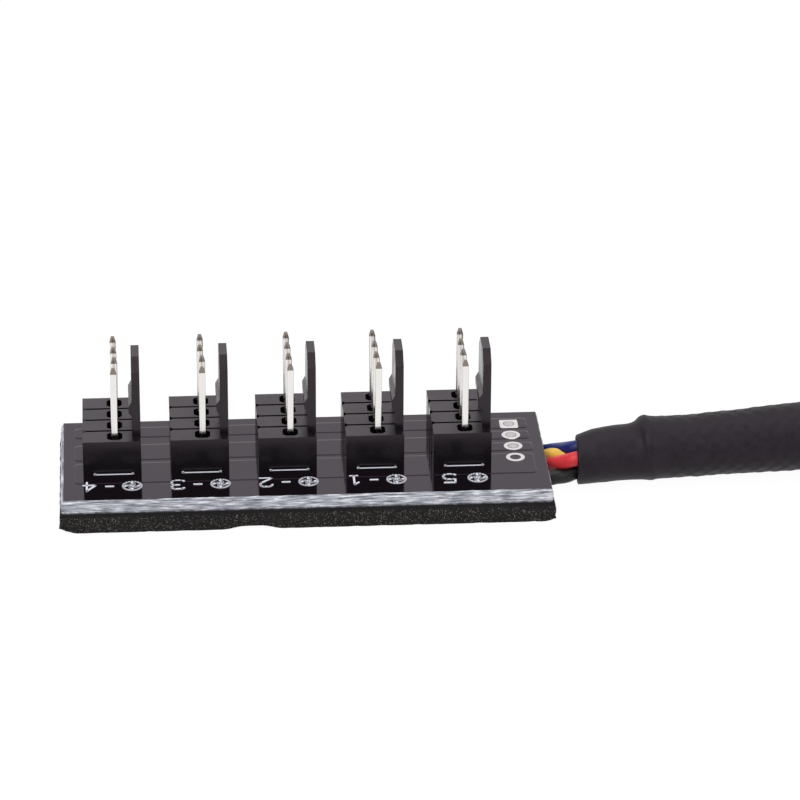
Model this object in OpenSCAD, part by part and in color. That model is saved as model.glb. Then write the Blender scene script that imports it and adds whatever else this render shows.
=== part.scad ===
// Five-way fan splitter: a small board with five 4-pin fan headers on a foam pad,
// fed by a sleeved four-wire cable that ends in a female fan plug.
// Millimetres. +X runs along the board towards the cable, +Y to the back, +Z up.
// The origin is under the middle of the foam pad, on the surface that it lies on.

/* [Board and pad] */
// Length of the circuit board along X
board_l = 47.5; // [42:0.5:60]
// Width of the circuit board along Y
board_w = 17.5; // [17:0.5:25]
// Thickness of the circuit board
board_t = 1.5; // [1:0.1:2]
// Thickness of the foam pad
foam_t = 1.9; // [1.8:0.1:4]
// Foam beyond each end of the board
foam_past_x = 0.3; // [0:0.1:1]
// Foam beyond the front and the back of the board
foam_past_y = 0.15; // [0:0.05:1]

/* [Fan headers] */
// Number of fan headers on the board
headers = 5; // [1:1:5]
// Board end to the side of the first header
header_from_end = 1.95; // [1:0.05:2.5]
// Board front to the front of the headers
header_from_front = 5.85; // [4:0.05:6]
// Circuits of a header, and wires of the cable
circuits = 4; // [4:1:4]
// Distance between two circuits
circuit_pitch = 2.54; // [2.5:0.01:2.6]
// Depth of a housing along X
housing_x = 5.7; // [5.4:0.1:6.2]
// Height of a housing above the board
housing_h = 3.4; // [2.8:0.1:5]
// Housing side to the middle of its pins
pin_from_side = 3.15; // [2.8:0.05:3.3]
// Side of the square pins
pin_side = 0.64; // [0.5:0.01:0.7]
// Pin height above the board
pin_h = 10.7; // [8:0.1:12]
// Pin length below the board
pin_tail = 0.9; // [0.5:0.1:1.1]
// Height of the taper at both ends of a pin
pin_taper = 0.55; // [0.1:0.05:0.7]
// Pocket round a pin, along X
pocket_x = 1.5; // [1.1:0.1:1.8]
// Pocket round a pin, along Y
pocket_y = 1.65; // [1.1:0.05:2]
// Depth of the pin pockets
pocket_depth = 0.9; // [0.3:0.1:1.8]
// Corner cut of the pin pockets
pocket_corner = 0.3; // [0:0.05:0.4]
// Width of the grooves between the circuits
groove_w = 0.3; // [0.1:0.05:0.5]
// Depth of the grooves between the circuits
groove_depth = 0.25; // [0.1:0.05:0.5]

/* [Lock wall] */
// Height of the wall above the board
wall_h = 11.4; // [9:0.1:13]
// Width of the wall along Y
wall_w = 5.08; // [4:0.02:5.3]
// Thickness of the wall at its root
wall_t = 0.85; // [0.6:0.05:1]
// Thickness of the wall at its top
wall_top_t = 0.8; // [0.5:0.02:0.85]
// Corner cut at the top of the wall
wall_corner = 1.2; // [0.4:0.1:1.6]
// How far the lock ridge stands out of the wall
ridge_out = 0.3; // [0.1:0.05:0.5]
// Height above the board at which the ridge is fullest
ridge_z = 6.2; // [6:0.1:8.5]
// Length of the ridge's slope above its fullest line
ridge_rise = 0.9; // [0.5:0.1:1.8]
// Length of the ridge's slope below its fullest line
ridge_fall = 0.7; // [0.3:0.1:1.2]

/* [Solder and pads] */
// Diameter of the plated pin holes
hole_d = 1.05; // [1:0.01:1.1]
// Diameter of the solder cones under the board
solder_d = 1.9; // [1.4:0.1:2]
// Height of the solder cones under the board
solder_h = 0.6; // [0.3:0.05:0.7]
// Board end to the row of cable pads
cable_pad_from_end = 2.95; // [2.6:0.05:3.4]
// Pins of the last header to the row of cable pads
pads_from_pins = 5.05; // [4.2:0.05:6]
// Gap between solder and the wall of its hole
solder_gap = 0.02; // [0.01:0.01:0.04]
// Clearance of a pin in its housing and in its solder
pin_gap = 0.02; // [0.01:0.01:0.05]

/* [Wires and sleeve] */
// Diameter of an insulated wire
wire_d = 1.5; // [1.2:0.05:1.5]
// Diameter of the bare conductor
conductor_d = 0.7; // [0.4:0.05:0.8]
// Diameter of the braided sleeve
sleeve_d = 5.6; // [5:0.1:5.8]
// Radius of the coil at the middle of its turns
coil_r = 27; // [26.5:0.5:27.5]
// Width of the tie round the coil
tie_w = 9; // [5:0.5:15]
// Thickness of the tie
tie_t = 0.5; // [0.3:0.1:1]
// Gap between the tie and the coil
tie_gap = 0.05; // [0.03:0.01:0.2]

/* [Plug] */
// Length of the plug housing
plug_l = 12.8; // [11:0.1:16]
// Height of the plug housing
plug_h = 4.9; // [4.3:0.1:6]
// Wall outside the first and the last cavity
plug_side_wall = 0.45; // [0.35:0.05:1]
// Side of the square cavities for the terminals
cavity = 1.9; // [1.8:0.05:2.1]
// Thickness of the wall that the header pins enter through
plug_nose = 1; // [0.6:0.1:2]
// Side of the holes for the header pins
pin_window = 1.1; // [0.9:0.05:1.4]
// Height of the two guide ribs
rib_h = 1.1; // [0.5:0.1:1.5]
// Thickness of the guide ribs
rib_t = 0.8; // [0.5:0.1:1.2]
// Clearance of the ribs beside the lock wall
rib_gap = 0.15; // [0.05:0.05:0.4]
// Length of the guide ribs
rib_l = 9; // [5:0.5:10]
// Gap between a terminal and its cavity
terminal_gap = 0.05; // [0.02:0.01:0.1]
// Sheet thickness of a terminal
terminal_sheet = 0.25; // [0.15:0.05:0.3]
// Length of a terminal's box
terminal_box = 5.5; // [4:0.1:6]
// Length of a terminal's crimp
terminal_crimp = 2.6; // [1.5:0.1:3]

/* [Hidden] */
eps = 0.01;
board_z = foam_t;
top_z = foam_t + board_t;
header_x0 = -board_l / 2 + header_from_end;
header_span = board_l - header_from_end - pin_from_side - pads_from_pins - cable_pad_from_end;
header_pitch = header_span / max(headers - 1, 1);
header_y0 = -board_w / 2 + header_from_front;
housing_y = circuits * circuit_pitch;
pin_y0 = header_y0 + circuit_pitch / 2;
wall_y = pin_y0 + circuit_pitch;
cable_pad_x = board_l / 2 - cable_pad_from_end;
solder_barrel_d = hole_d - 2 * solder_gap;

// Room in the foam for the pin tails and for the wires
relief_past = 0.3;
relief_w = solder_d + 2 * relief_past;
relief_depth = pin_tail + relief_past;
notch_past = 1.1;
notch_x0 = cable_pad_x - solder_d / 2 - relief_past;
notch_y0 = pin_y0 - solder_d / 2 - notch_past;
notch_y1 = pin_y0 + (circuits - 1) * circuit_pitch + solder_d / 2 + notch_past;

// Wires, black first: under the board, over its edge, then through the heat-shrink
wire_colours = ["#262326", "#c4262c", "#dfa92f", "#2a3484"];
strip_l = 0.9;
wire_z = 0.95;
bundle_r = 1.15;
mouth_r = 1.2;
sleeve_gap = 0.15;
board_bundle_turn = [240, 150, 330, 60];
board_wire_mid = [
    [[23.95, -2.35, 1.15], [25.6, -1.85, 1.2]],
    [[24, 0, 1.1], [25.05, -0.1, 2.4]],
    [[23.95, 2.5, 1.1], [25.5, 1.25, 1]],
    [[24, 4.55, 0.95], [25.2, 2.3, 2.95]]
];

// Heat-shrink at the board end: middle of each ring, then its outer radius
shrink_wall = 0.3;
board_shrink = [
    [27, -0.6, 2.5, 2.5], [29.4, -0.25, 2.75, 2.75], [31.6, 0.05, 2.85, 2.85], [33.6, 0.25, 3.15, 3.15],
    [35.5, 0.4, 3.2, 3.2], [41.5, 0.95, 3.2, 3.2], [47, 1.4, 3.3, 3.3], [50, 1.65, 3.4, 3.4],
    [57, 2.3, 3.35, 3.35]
];

// Sleeve on its way to the coil, and after it
run_points = [
    [33.6, 0.25, 3.15], [35.5, 0.4, 3.2], [41.5, 0.95, 3.2], [47, 1.4, 3.3], [50, 1.65, 3.4],
    [57, 2.3, 3.35], [64, 3.1, 2.95], [73, 4.2, 2.85], [82, 5.3, 2.9], [89.3, 6.1, 3.35]
];
tail_points = [
    [97.5, 8.3, 9.05], [105.2, 11.8, 8.95], [111.3, 15.6, 8.3], [115.9, 20.4, 7.25], [118.8, 26.4, 5.7],
    [120, 30.5, 4.5], [120.3, 33, 3.95], [120.4, 35, 3.8]
];
coil_front_y = 6;
coil_centre = [86.5, coil_front_y + coil_r];
coil_hump = 210;
coil_out = 294;
coil_layer = sleeve_d + 0.1;
coil_z = sleeve_d / 2 + tie_gap + tie_t;
tie_middle = 285;
tie_turn = tie_w / coil_r * 180 / PI;

// Heat-shrink at the plug end
plug_shrink = [
    [115.9, 20.4, 7.25, 3.3], [118.8, 26.4, 5.7, 3.3], [120, 30.5, 4.5, 3.3], [120.3, 33, 3.95, 3.3],
    [120.4, 35, 3.8, 3.3], [120.4, 37, 3.65, 2.9], [120.4, 42, 3.3, 2.5]
];

// Plug, lying on the surface with its mouth towards +Y
plug_x = 120.4;
plug_y = 57;
plug_w = (circuits - 1) * circuit_pitch + cavity + 2 * plug_side_wall;
cavity_z = plug_h / 2;
terminal_side = cavity - 2 * terminal_gap;
terminal_y = plug_y + plug_l - plug_nose - terminal_gap - terminal_box;
crimp_y = terminal_y - terminal_crimp;
crimp_d = 1.4;
plug_strip = 0.4;
tang_window = [1.2, 1.8];
plug_bundle_turn = [225, 135, 45, 315];

wire_sides = 8;
sleeve_sides = 12;
shrink_sides = 24;

function header_x(h) = header_x0 + (h - 1) * header_pitch;
function pin_x(h) = header_x(h) + pin_from_side;
function circuit_y(c) = pin_y0 + (c - 1) * circuit_pitch;
function unit(v) = v / norm(v);
function at(p) = [p[0], p[1], p[2]];

// A smooth curve through points p, in n steps between each two
function spline(p, n) = [
    for (i = [0:len(p) - 2], k = [0:n - 1])
        let (a = p[max(i - 1, 0)], b = p[i], c = p[i + 1], d = p[min(i + 2, len(p) - 1)], t = k / n)
        (2 * b + (c - a) * t + (2 * a - 5 * b + 4 * c - d) * t * t + (3 * b - a - 3 * c + d) * t * t * t) / 2,
    p[len(p) - 1]
];

// Direction of a path at point i
function heading(p, i) = unit(at(p[min(i + 1, len(p) - 1)]) - at(p[max(i - 1, 0)]));

// One ring of a tube, square to the path at point i
function ring(p, i, r, sides) =
    let (d = heading(p, i), side = unit(cross([0, 0, 1], d)), up = cross(d, side))
    [for (k = [0:sides - 1]) at(p[i]) + r * (cos(360 * k / sides) * side + sin(360 * k / sides) * up)];

// Faces that join ring a to ring b of a tube, seen from outside
function band(a, b, sides) = [
    for (k = [0:sides - 1])
        let (n = (k + 1) % sides)
        [a * sides + k, b * sides + k, b * sides + n, a * sides + n]
];

// A solid tube with flat ends, along path p
module cord(p, r, sides) {
    last = len(p) - 1;
    polyhedron(
        points = [for (i = [0:last]) each ring(p, i, r, sides)],
        faces = concat(
            [[for (k = [0:sides - 1]) k]],
            [for (i = [0:last - 1]) each band(i, i + 1, sides)],
            [[for (k = [sides - 1:-1:0]) last * sides + k]]
        ),
        convexity = 6
    );
}

// A hollow tube along path p, whose fourth number is the outer radius
module hose(p, wall, sides) {
    n = len(p);
    rings = concat(
        [for (i = [0:n - 1]) ring(p, i, p[i][3], sides)],
        [for (i = [n - 1:-1:0]) ring(p, i, p[i][3] - wall, sides)]
    );
    polyhedron(
        points = [for (r = rings) each r],
        faces = [for (i = [0:2 * n - 1]) each band(i, (i + 1) % (2 * n), sides)],
        convexity = 10
    );
}

// A square bar along Z whose ends taper
module tapered_bar(side, z0, z1, taper, tip) {
    outline = [
        [-tip / 2, z0], [tip / 2, z0], [side / 2, z0 + taper], [side / 2, z1 - taper],
        [tip / 2, z1], [-tip / 2, z1], [-side / 2, z1 - taper], [-side / 2, z0 + taper]
    ];
    intersection() {
        rotate([90, 0, 0])
            linear_extrude(side + 2, center = true)
                polygon(outline);
        rotate([90, 0, 90])
            linear_extrude(side + 2, center = true)
                polygon(outline);
    }
}

module circuit_board() {
    color("#1d1a1d")
        difference() {
            translate([-board_l / 2, -board_w / 2, board_z])
                cube([board_l, board_w, board_t]);
            for (h = [1:headers], c = [1:circuits])
                translate([pin_x(h), circuit_y(c), board_z - 1])
                    cylinder(d = hole_d, h = board_t + 2, $fn = 32);
            for (c = [1:circuits])
                translate([cable_pad_x, circuit_y(c), board_z - 1])
                    cylinder(d = hole_d, h = board_t + 2, $fn = 32);
        }
}

module foam_pad() {
    foam_l = board_l + 2 * foam_past_x;
    foam_w = board_w + 2 * foam_past_y;
    color("#2a2624")
        difference() {
            translate([-foam_l / 2, -foam_w / 2, 0])
                cube([foam_l, foam_w, foam_t]);
            for (h = [1:headers])
                translate([pin_x(h) - relief_w / 2, pin_y0 - relief_w / 2, foam_t - relief_depth])
                    cube([relief_w, (circuits - 1) * circuit_pitch + relief_w, relief_depth + 1]);
            translate([notch_x0, notch_y0, -1])
                cube([foam_l, notch_y1 - notch_y0, foam_t + 2]);
        }
}

// Outline of a pin pocket, with cut corners
module pocket_outline() {
    x = pocket_x / 2;
    y = pocket_y / 2;
    k = pocket_corner;
    polygon([[k - x, -y], [x - k, -y], [x, k - y], [x, y - k], [x - k, y], [k - x, y], [-x, y - k], [-x, k - y]]);
}

module header_body() {
    difference() {
        cube([housing_x, housing_y, housing_h]);
        for (c = [1:circuits]) {
            translate([pin_from_side, (c - 0.5) * circuit_pitch, housing_h - pocket_depth])
                linear_extrude(pocket_depth + 1)
                    pocket_outline();
            translate([pin_from_side, (c - 0.5) * circuit_pitch, housing_h / 2])
                cube([pin_side + 2 * pin_gap, pin_side + 2 * pin_gap, housing_h + 2], center = true);
        }
        for (c = [1:circuits - 1]) {
            translate([-1, c * circuit_pitch - groove_w / 2, housing_h - groove_depth])
                cube([housing_x - wall_t + 1, groove_w, groove_depth + 1]);
            translate([0, c * circuit_pitch, -1])
                rotate(45)
                    translate([-groove_w, -groove_w])
                        cube([2 * groove_w, 2 * groove_w, housing_h + 2]);
        }
    }
}

// Section of the lock wall across the pins, drawn from its outer face
module wall_section() {
    root = housing_h - eps;
    function face_x(z) = wall_t + (wall_top_t - wall_t) * (z - root) / (wall_h - root);
    low = ridge_z - ridge_fall;
    high = ridge_z + ridge_rise;
    polygon([
        [0, root], [0, wall_h], [-wall_top_t, wall_h], [-face_x(high), high],
        [-face_x(ridge_z) - ridge_out, ridge_z + ridge_fall / 2], [-face_x(ridge_z) - ridge_out, ridge_z - ridge_fall / 2],
        [-face_x(low), low], [-wall_t, root]
    ]);
}

module lock_wall() {
    intersection() {
        translate([housing_x, wall_y - header_y0 + wall_w / 2, 0])
            rotate([90, 0, 0])
                linear_extrude(wall_w)
                    wall_section();
        translate([housing_x - 2 * wall_t, wall_y - header_y0, 0])
            rotate([90, 0, 90])
                linear_extrude(2 * wall_t + 1)
                    polygon([
                        [-wall_w / 2, 0], [wall_w / 2, 0], [wall_w / 2, wall_h - wall_corner],
                        [wall_w / 2 - wall_corner, wall_h], [wall_corner - wall_w / 2, wall_h],
                        [-wall_w / 2, wall_h - wall_corner]
                    ]);
    }
}

module header_housing(h) {
    color("#1c1a1b")
        translate([header_x(h), header_y0, top_z])
            union() {
                header_body();
                lock_wall();
            }
}

module header_pin(h, c) {
    color("#e8e4e0")
        translate([pin_x(h), circuit_y(c), top_z])
            tapered_bar(pin_side, -board_t - pin_tail, pin_h, pin_taper, pin_side / 2);
}

// A joint that fills the hole up to height fill, with a cone below the board
module solder_joint(fill) {
    rotate_extrude($fn = 32)
        polygon([
            [0, board_z - solder_h], [solder_barrel_d / 2, board_z - solder_h], [solder_d / 2, board_z],
            [solder_barrel_d / 2, board_z], [solder_barrel_d / 2, fill], [0, fill]
        ]);
}

module header_solder(h) {
    color("#b9b5b2")
        for (c = [1:circuits])
            translate([pin_x(h), circuit_y(c), 0])
                difference() {
                    solder_joint(top_z);
                    translate([0, 0, board_z])
                        cube([pin_side + 2 * pin_gap, pin_side + 2 * pin_gap, 4 * board_t], center = true);
                }
}

// The first joint stops below the top of its hole, which is why that hole looks open
function cable_fill(c) = c == 1 ? top_z - board_t / 2 : top_z;

module cable_solder(c) {
    color("#a8a4a0")
        translate([cable_pad_x, circuit_y(c), 0])
            difference() {
                solder_joint(cable_fill(c));
                translate([0, 0, board_z - solder_h - 1])
                    cylinder(d = conductor_d + 2 * pin_gap, h = cable_fill(c) - board_z + solder_h + 1 - 2 * pin_gap, $fn = 24);
            }
}

// Place of wire c at distance r from the middle of the bundle, which runs along +X
function bundle_at(c, r) = r * [0, cos(board_bundle_turn[c - 1]), sin(board_bundle_turn[c - 1])];

// Middle line of wire c from its pad to the start of the sleeve
function board_wire_path(c) = spline(concat(
    [[cable_pad_x + strip_l, circuit_y(c), wire_z]],
    board_wire_mid[c - 1],
    [
        at(board_shrink[0]) + bundle_at(c, mouth_r),
        at(board_shrink[1]) + bundle_at(c, bundle_r),
        at(board_shrink[2]) + bundle_at(c, bundle_r),
        at(run_points[0]) + bundle_at(c, bundle_r) - [sleeve_gap, 0, 0]
    ]
), 3);

module board_wire(c) {
    color(wire_colours[c - 1])
        union() {
            cord(board_wire_path(c), wire_d / 2, wire_sides);
            translate([cable_pad_x, circuit_y(c), wire_z])
                rotate([0, 90, 0])
                    cylinder(d = conductor_d, h = strip_l + wire_d / 4, $fn = 24);
            translate([cable_pad_x, circuit_y(c), wire_z])
                sphere(d = conductor_d, $fn = 24);
            translate([cable_pad_x, circuit_y(c), wire_z])
                cylinder(d = conductor_d, h = cable_fill(c) - wire_z - 3 * pin_gap, $fn = 24);
        }
}

module board_end_shrink() {
    color("#343033")
        hose(board_shrink, shrink_wall, shrink_sides);
}

module sleeve_run() {
    color("#2a282a")
        cord(run_points, sleeve_d / 2, sleeve_sides);
}

module sleeve_tail() {
    color("#2a282a")
        cord(tail_points, sleeve_d / 2, sleeve_sides);
}

// One full turn on the surface, and the start of the second turn on top of it
module sleeve_coil() {
    color("#2a282a")
        translate([coil_centre[0], coil_centre[1], coil_z]) {
            rotate_extrude($fn = 96)
                translate([coil_r, 0])
                    circle(d = sleeve_d, $fn = 32);
            translate([0, 0, coil_layer])
                rotate(coil_hump)
                    rotate_extrude(angle = coil_out - coil_hump, $fn = 96)
                        translate([coil_r, 0])
                            circle(d = sleeve_d, $fn = 32);
        }
}

// Section of the tie: the outer shape of two turns on each other, grown by g
module tie_section(g) {
    for (z = [0, coil_layer])
        translate([coil_r, z])
            circle(d = sleeve_d + 2 * g, $fn = 32);
    translate([coil_r - sleeve_d / 2 - g, 0])
        square([sleeve_d + 2 * g, coil_layer + eps]);
}

module coil_tie() {
    color("#171517")
        translate([coil_centre[0], coil_centre[1], coil_z])
            rotate(tie_middle - tie_turn / 2)
                rotate_extrude(angle = tie_turn, $fn = 96)
                    difference() {
                        tie_section(tie_gap + tie_t);
                        tie_section(tie_gap);
                    }
}

module plug_end_shrink() {
    color("#343033")
        hose(plug_shrink, shrink_wall, shrink_sides);
}

// Middle of circuit c across the plug
function plug_circuit_x(c) = plug_x + (c - (circuits + 1) / 2) * circuit_pitch;

// Place of wire c round the middle of the bundle, which runs along +Y
function plug_bundle_at(c) = mouth_r * [cos(plug_bundle_turn[c - 1]), 0, sin(plug_bundle_turn[c - 1])];

// Middle line of wire c from the end of the sleeve to its crimp
function plug_wire_path(c) =
    let (last = len(plug_shrink) - 1, x = plug_circuit_x(c), out = at(plug_shrink[last]) + plug_bundle_at(c))
    spline([
        at(tail_points[len(tail_points) - 1]) + plug_bundle_at(c) + [0, sleeve_gap, 0],
        out,
        out + [0, 2, 0],
        [(plug_x + 2 * x) / 3, plug_y - 7, (out[2] + cavity_z) / 2],
        [x, plug_y - 1.5, cavity_z],
        [x, plug_y + 1, cavity_z],
        [x, crimp_y - plug_strip, cavity_z]
    ], 3);

module plug_wire(c) {
    color(wire_colours[c - 1])
        union() {
            cord(plug_wire_path(c), wire_d / 2, wire_sides);
            translate([plug_circuit_x(c), crimp_y - plug_strip - wire_d / 4, cavity_z])
                rotate([-90, 0, 0])
                    cylinder(d = conductor_d, h = terminal_crimp + plug_strip + wire_d / 4, $fn = 24);
        }
}

module plug_housing() {
    rib_y = plug_y + plug_l - rib_l;
    rib_inside = wall_w / 2 + rib_gap;
    color("#201d1e")
        difference() {
            union() {
                translate([plug_x - plug_w / 2, plug_y, 0])
                    cube([plug_w, plug_l, plug_h]);
                for (x = [-rib_inside - rib_t, rib_inside])
                    translate([plug_circuit_x(2) + x, rib_y, plug_h - eps])
                        cube([rib_t, rib_l, rib_h + eps]);
            }
            for (c = [1:circuits]) {
                translate([plug_circuit_x(c) - cavity / 2, plug_y - 1, cavity_z - cavity / 2])
                    cube([cavity, plug_l - plug_nose + 1, cavity]);
                translate([plug_circuit_x(c) - pin_window / 2, plug_y, cavity_z - pin_window / 2])
                    cube([pin_window, plug_l + 1, pin_window]);
                translate([plug_circuit_x(c) - tang_window[0] / 2, terminal_y, cavity_z])
                    cube([tang_window[0], tang_window[1], plug_h]);
            }
        }
}

// A box that takes the pin, and a floor that carries the crimp round the bare wire
module plug_terminal(c) {
    side = terminal_side;
    inside = side - 2 * terminal_sheet;
    color("#c9c4bd")
        translate([plug_circuit_x(c), 0, cavity_z])
            union() {
                difference() {
                    translate([-side / 2, terminal_y, -side / 2])
                        cube([side, terminal_box, side]);
                    translate([-inside / 2, terminal_y - 1, -inside / 2])
                        cube([inside, terminal_box + 2, inside]);
                }
                translate([-crimp_d / 2, crimp_y, -side / 2])
                    cube([crimp_d, terminal_crimp + eps, terminal_sheet]);
                translate([0, crimp_y, 0])
                    rotate([-90, 0, 0])
                        difference() {
                            cylinder(d = crimp_d, h = terminal_crimp - 2 * terminal_sheet, $fn = 32);
                            translate([0, 0, -1])
                                cylinder(d = conductor_d + 2 * pin_gap, h = terminal_crimp + 2, $fn = 24);
                        }
            }
}

circuit_board();
foam_pad();
for (h = [1:headers])
    header_housing(h);
for (h = [1:headers], c = [1:circuits])
    header_pin(h, c);
for (h = [1:headers])
    header_solder(h);
for (c = [1:circuits])
    cable_solder(c);
for (c = [1:circuits])
    board_wire(c);
board_end_shrink();
sleeve_run();
sleeve_coil();
sleeve_tail();
coil_tie();
plug_end_shrink();
for (c = [1:circuits])
    plug_wire(c);
plug_housing();
for (c = [1:circuits])
    plug_terminal(c);
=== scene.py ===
# Fan splitter board with five 4-pin headers, a foam pad and a sleeved cable.
# All sizes are in millimetres times MM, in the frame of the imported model:
# +X along the board to the cable, +Y away from the camera, +Z up.
import math

import bmesh
import bpy
from mathutils import Matrix, Vector, noise


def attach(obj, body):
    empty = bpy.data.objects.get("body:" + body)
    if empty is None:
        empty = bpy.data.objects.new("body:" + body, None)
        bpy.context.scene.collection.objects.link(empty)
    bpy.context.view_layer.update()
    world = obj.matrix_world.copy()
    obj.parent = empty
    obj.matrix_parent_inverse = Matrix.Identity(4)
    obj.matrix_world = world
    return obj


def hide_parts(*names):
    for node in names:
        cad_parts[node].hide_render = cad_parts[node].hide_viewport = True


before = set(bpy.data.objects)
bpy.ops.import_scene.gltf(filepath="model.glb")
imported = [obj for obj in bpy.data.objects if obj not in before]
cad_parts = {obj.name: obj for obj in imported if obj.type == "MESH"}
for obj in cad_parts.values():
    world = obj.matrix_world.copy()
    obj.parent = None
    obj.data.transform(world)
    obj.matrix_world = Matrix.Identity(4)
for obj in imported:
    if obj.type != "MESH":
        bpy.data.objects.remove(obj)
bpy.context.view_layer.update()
MM = 0.001

# Camera
# A long lens a little above the board, looking along +Y, as the photograph was taken.
# Focal length and place come from the board's corners and the pins' 2.54 mm pitch.
LENS = 196.14
SENSOR_WIDTH = 36
CLIP_FROM, CLIP_TO = 0.02, 20
CAMERA_AT = Vector((-17.126, -387.204, 192.086)) * MM
CAMERA_YAW = math.radians(-3.927)
CAMERA_PITCH = math.radians(25.23)
CAMERA_ROLL = math.radians(0.268)


def new_object(name, data):
    """An object with that data, linked to the scene."""
    made = bpy.data.objects.new(name, data)
    bpy.context.scene.collection.objects.link(made)
    return made


back = Vector((
    math.sin(CAMERA_YAW) * math.cos(CAMERA_PITCH),
    -math.cos(CAMERA_YAW) * math.cos(CAMERA_PITCH),
    math.sin(CAMERA_PITCH),
))
right = Vector((0, 0, 1)).cross(back).normalized()
camera_turn = Matrix((right, back.cross(right), back)).transposed()
camera_data = bpy.data.cameras.new("camera")
camera_data.lens = LENS
camera_data.sensor_width = SENSOR_WIDTH
camera_data.clip_start = CLIP_FROM
camera_data.clip_end = CLIP_TO
camera = new_object("camera", camera_data)
camera.matrix_world = (
    Matrix.Translation(CAMERA_AT)
    @ camera_turn.to_4x4()
    @ Matrix.Rotation(CAMERA_ROLL, 4, "Z")
)
bpy.context.scene.camera = camera
bpy.context.scene.view_settings.view_transform = "Standard"


# Light and floor
# A white sweep under large soft lamps. Camera, gloss and glass see plain white;
# the floor keeps a faint shadow under the part.
def srgb(hex_colour):
    """An sRGB hex value as linear red, green, blue and alpha."""
    parts = [int(hex_colour[i : i + 2], 16) / 255 for i in (1, 3, 5)]
    return [p / 12.92 if p <= 0.04045 else ((p + 0.055) / 1.055) ** 2.4 for p in parts] + [1]


def set_inputs(node, inputs):
    """Gives a node's inputs, by name or number, their values or links."""
    for name, value in inputs.items():
        if isinstance(value, bpy.types.NodeSocket):
            node.id_data.links.new(value, node.inputs[name])
        else:
            node.inputs[name].default_value = value


def add(tree, kind, inputs=None, **settings):
    """Adds one node with its settings and its inputs."""
    made = tree.nodes.new(kind)
    for name, value in settings.items():
        setattr(made, name, value)
    set_inputs(made, inputs or {})
    return made


def math_node(tree, operation, first, second=0.0):
    """Socket of one sum on two values or sockets."""
    return add(tree, "ShaderNodeMath", {0: first, 1: second}, operation=operation).outputs[0]


def empty_tree(owner):
    """The node tree of a world or a material, cleared."""
    owner.use_nodes = True
    owner.node_tree.nodes.clear()
    return owner.node_tree


def seen_directly(tree):
    """1 for camera, glossy and transmission rays, 0 for the light that falls on the part."""
    path = add(tree, "ShaderNodeLightPath").outputs
    camera_or_gloss = math_node(tree, "MAXIMUM", path["Is Camera Ray"], path["Is Glossy Ray"])
    return math_node(tree, "MAXIMUM", camera_or_gloss, path["Is Transmission Ray"])


def two_looks(tree, share, lit, plain, output):
    """Ends a tree in a lit look and a plain one, mixed by a share."""
    look = add(tree, "ShaderNodeMixShader", {0: share, 1: lit.outputs[0], 2: plain.outputs[0]})
    add(tree, output, {"Surface": look.outputs[0]})


SKY_LIGHT = 0.62
WHITE = (1, 1, 1, 1)
world = bpy.data.worlds.new("studio")
bpy.context.scene.world = world
tree = empty_tree(world)
room_light = add(tree, "ShaderNodeBackground", {"Color": WHITE, "Strength": SKY_LIGHT})
white_room = add(tree, "ShaderNodeBackground", {"Color": WHITE, "Strength": 1})
two_looks(tree, seen_directly(tree), room_light, white_room, "ShaderNodeOutputWorld")

FLOOR_SHARE_OF_SHADOW = 0.06
FLOOR_GREY = (0.9, 0.9, 0.9, 1)
FLOOR_GLOW = 1.02
FLOOR_HALF_SIDE = 3
FLOOR_DROP = 0.00002
floor_paint = bpy.data.materials.new("white sweep")
tree = empty_tree(floor_paint)
shaded = add(tree, "ShaderNodeBsdfDiffuse", {"Color": FLOOR_GREY})
plain = add(tree, "ShaderNodeEmission", {"Color": WHITE, "Strength": FLOOR_GLOW})
share = math_node(tree, "MULTIPLY", seen_directly(tree), 1 - FLOOR_SHARE_OF_SHADOW)
two_looks(tree, share, shaded, plain, "ShaderNodeOutputMaterial")
floor_corners = [
    (x * FLOOR_HALF_SIDE, y * FLOOR_HALF_SIDE, 0) for x, y in ((-1, -1), (1, -1), (1, 1), (-1, 1))
]
floor_mesh = bpy.data.meshes.new("floor")
floor_mesh.from_pydata(floor_corners, [], [(0, 1, 2, 3)])
floor_mesh.materials.append(floor_paint)
floor = new_object("floor", floor_mesh)
floor.location.z = -FLOOR_DROP

# Lamps: place in metres, side of the square, watts
LAMPS = {
    "key_lamp": ((-0.75, -0.75, 1.1), 0.7, 6.5),
    "fill_lamp": ((0.9, -0.6, 0.8), 0.7, 2.5),
    "top_lamp": ((0.05, 0.1, 1.3), 0.9, 4.0),
}
LAMPS_AIM = Vector((0.03, 0.02, 0))
for lamp_name, (place, side, watts) in LAMPS.items():
    lamp_data = bpy.data.lights.new(lamp_name, "AREA")
    lamp_data.size = side
    lamp_data.energy = watts
    lamp = new_object(lamp_name, lamp_data)
    lamp.location = place
    lamp.rotation_euler = (LAMPS_AIM - Vector(place)).to_track_quat("-Z", "Y").to_euler()


# Braided sleeve
# A black monofilament braid over the four wires, 5.6 mm across and 0.27 m long. It lies on
# the surface, is wound once round for storage and ends at the fan plug.
def finish_of(name, colour, **sockets):
    """A new material with one Principled shader, its tree and that shader."""
    made = bpy.data.materials.new(name)
    inside = empty_tree(made)
    sockets = {key.replace("_", " ").title().replace("Ior", "IOR"): sockets[key] for key in sockets}
    shader = add(inside, "ShaderNodeBsdfPrincipled", {"Base Color": srgb(colour), **sockets})
    add(inside, "ShaderNodeOutputMaterial", {"Surface": shader.outputs[0]})
    return made, inside, shader


def ranged(inside, value, low, high, to_low=0.0, to_high=1.0):
    """Socket of a value taken from one range to another, and kept inside it."""
    return add(inside, "ShaderNodeMapRange", {
        0: value, 1: low, 2: high, 3: to_low, 4: to_high,
    }).outputs[0]


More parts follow.
